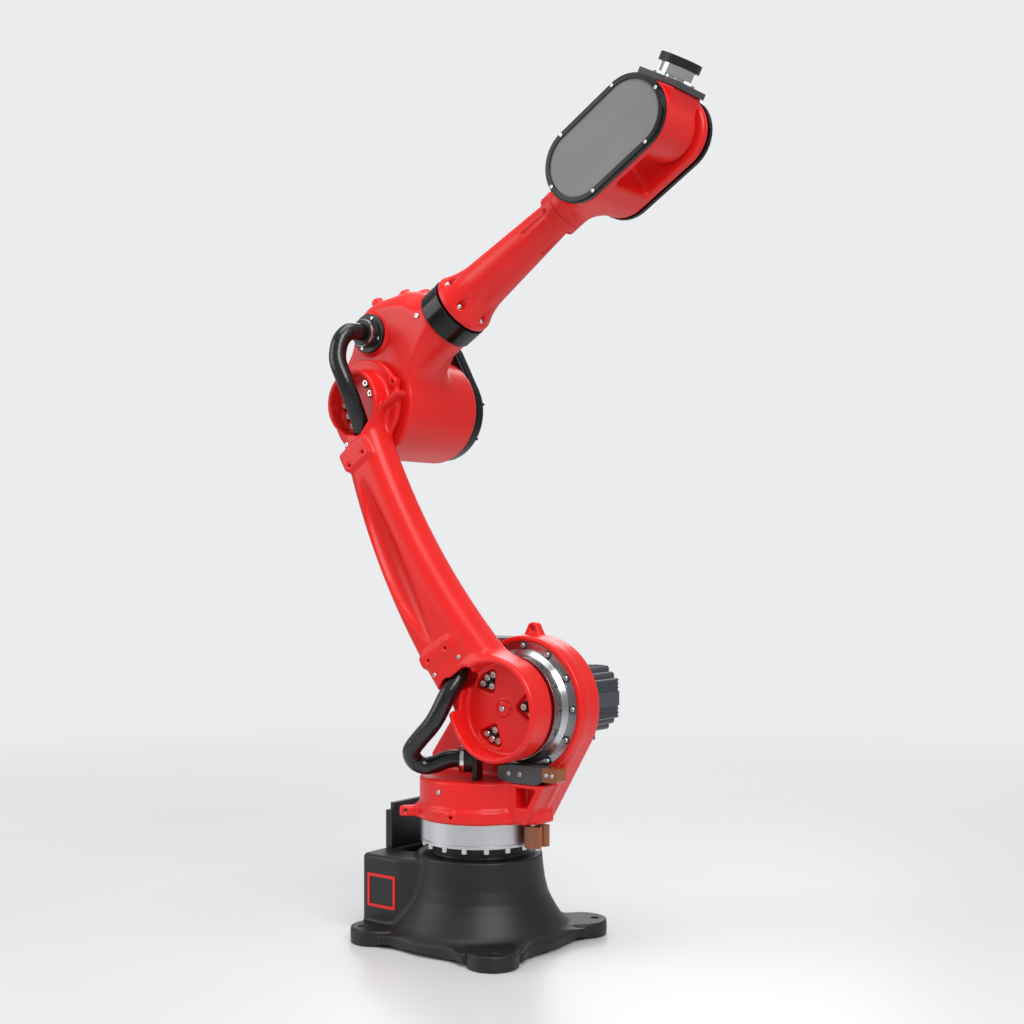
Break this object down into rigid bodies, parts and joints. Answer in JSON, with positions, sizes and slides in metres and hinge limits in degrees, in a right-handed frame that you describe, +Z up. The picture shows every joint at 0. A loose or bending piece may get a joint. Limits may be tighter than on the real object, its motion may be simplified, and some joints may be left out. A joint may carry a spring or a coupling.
{
  "type": "industrial robot arm",
  "caption": "Six-axis articulated robot arm: footed pedestal, turret, bow-shaped upper arm, elbow head with roll forearm, forked wrist and bolt-circle tool flange.",
  "frame": {"origin": "on the floor plane under the feet, on the slewing axis", "axes": "+X forward, +Y to the robot's left, +Z up"},
  "size_m": [0.8115, 0.391, 1.5218],
  "materials": {
    "red_enamel": "smooth semi-gloss red enamel on cast aluminium",
    "black_enamel": "satin black powder coat on cast iron",
    "machined_steel": "turned and ground steel",
    "zinc_bolts": "zinc-plated socket screws",
    "urethane": "cast urethane buffer",
    "dark_steel": "dark grey painted steel",
    "black_plastic": "moulded black plastic",
    "gloss_black": "polished black plastic frame",
    "grey_panel": "satin grey panel",
    "motor_black": "black anodised finned motor body",
    "hose_black": "glossy braided hose",
    "red_border": "printed red border of a bare plate"
  },
  "bodies": {
    "pedestal": {"pedestal": "black_enamel", "connector_hood": "black_plastic", "rating_plate": "red_border"},
    "turret": {"slewing_ring": "machined_steel", "slewing_bolts": "zinc_bolts", "slewing_stop": "urethane", "turret": "red_enamel", "slewing_motor": "motor_black", "shoulder_reducer": "machined_steel", "shoulder_reducer_bolts": "zinc_bolts", "shoulder_motor": "motor_black", "shoulder_stop": "dark_steel", "shoulder_buffer": "urethane", "stop_bolts": "zinc_bolts", "turret_gland": "black_plastic", "lower_hose": "hose_black"},
    "upper_arm": {"upper_arm": "red_enamel", "shoulder_hub": "machined_steel", "elbow_hub": "machined_steel", "shoulder_arm_bolts": "zinc_bolts", "elbow_arm_bolts": "zinc_bolts", "upper_hose": "hose_black"},
    "elbow": {"elbow_head": "red_enamel", "elbow_drive_cover": "black_plastic", "forearm_bearing": "black_plastic", "elbow_gland": "black_plastic"},
    "forearm": {"forearm_tube": "red_enamel", "forearm_hub": "machined_steel", "forearm_bolts": "zinc_bolts", "wrist_fork": "red_enamel", "right_cover_frame": "gloss_black", "right_cover_panel": "grey_panel", "left_cover_frame": "gloss_black", "left_cover_panel": "grey_panel", "cover_screws": "zinc_bolts"},
    "wrist": {"wrist_head": "red_enamel", "tool_plate": "dark_steel"},
    "tool_flange": {"tool_hub": "machined_steel", "tool_disc": "black_plastic"}
  },
  "joints": [
    {"name": "slew", "type": "hinge", "parent": "pedestal", "child": "turret", "pos_m": [0, 0, 0.2227], "axis": [0, 0, 1], "range_deg": [-160, 160]},
    {"name": "shoulder", "type": "hinge", "parent": "turret", "child": "upper_arm", "pos_m": [0.1085, 0, 0.427], "axis": [0, 1, 0], "range_deg": [-40, 92], "deforming": ["lower_hose"]},
    {"name": "elbow", "type": "hinge", "parent": "upper_arm", "child": "elbow", "pos_m": [-0.22599, 0, 0.97498], "axis": [0, -1, 0], "range_deg": [-65, 80], "deforming": ["upper_hose"]},
    {"name": "forearm_roll", "type": "hinge", "parent": "elbow", "child": "forearm", "pos_m": [-0.25248, 0, 1.01738], "axis": [0.848, 0, 0.5299], "range_deg": [-175, 175]},
    {"name": "wrist_bend", "type": "hinge", "parent": "forearm", "child": "wrist", "pos_m": [0.36913, 0, 1.40581], "axis": [0, -1, 0], "range_deg": [-140, 80]},
    {"name": "tool_roll", "type": "hinge", "parent": "wrist", "child": "tool_flange", "pos_m": [0.36913, 0, 1.40581], "axis": [0.4695, 0, 0.8829], "range_deg": [-180, 180]}
  ]
}
